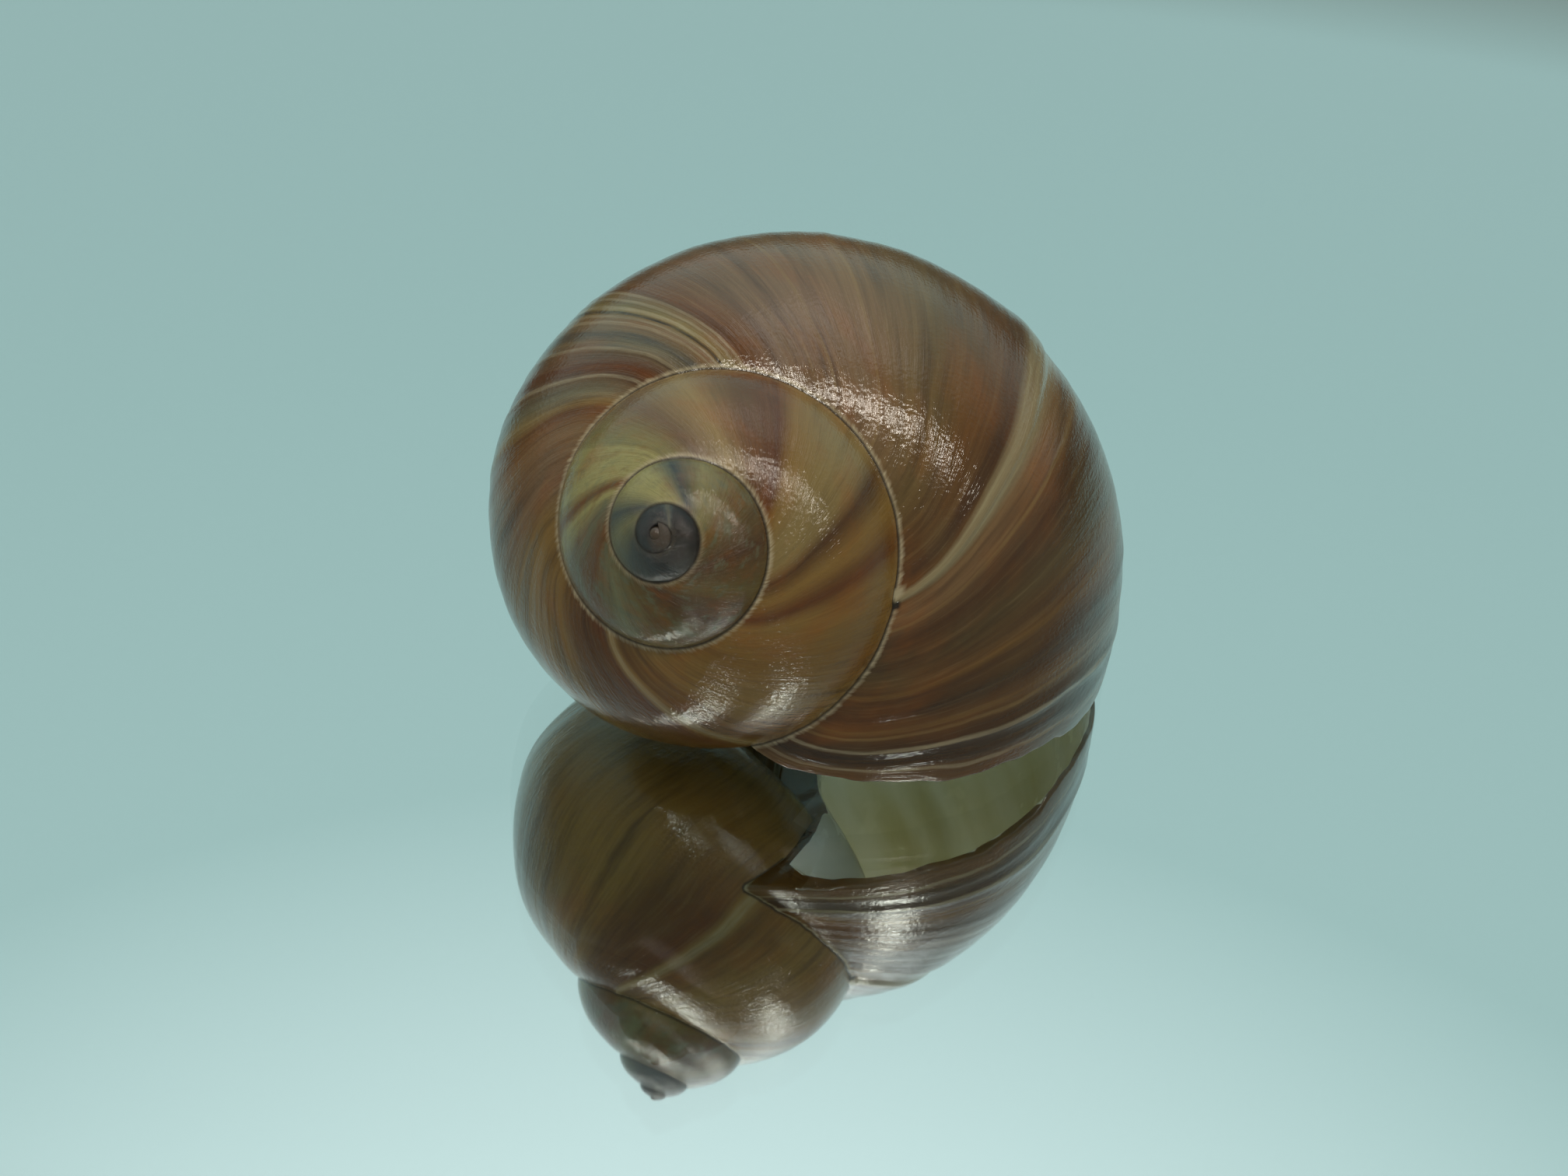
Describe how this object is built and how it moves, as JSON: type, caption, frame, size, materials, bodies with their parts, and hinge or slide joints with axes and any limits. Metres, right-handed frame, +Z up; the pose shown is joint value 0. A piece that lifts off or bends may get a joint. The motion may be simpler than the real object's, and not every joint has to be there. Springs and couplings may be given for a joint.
{
  "type": "moon snail shell",
  "caption": "Rounded right-handed spiral sea snail shell lying on its wide open mouth, with a hollow body turn and a short pointed spire.",
  "frame": {"origin": "centre of the shell's footprint box, on the surface it lies on", "axes": "+Z up; +X along the longest side of the footprint, towards the outer lip; the spire points towards -Y and up"},
  "size_m": [0.0562, 0.0486, 0.0378],
  "materials": {
    "shell": "naturally glossy brown shell, standing in for aragonite"
  },
  "bodies": {
    "root": {"shell": "shell"}
  },
  "joints": []
}
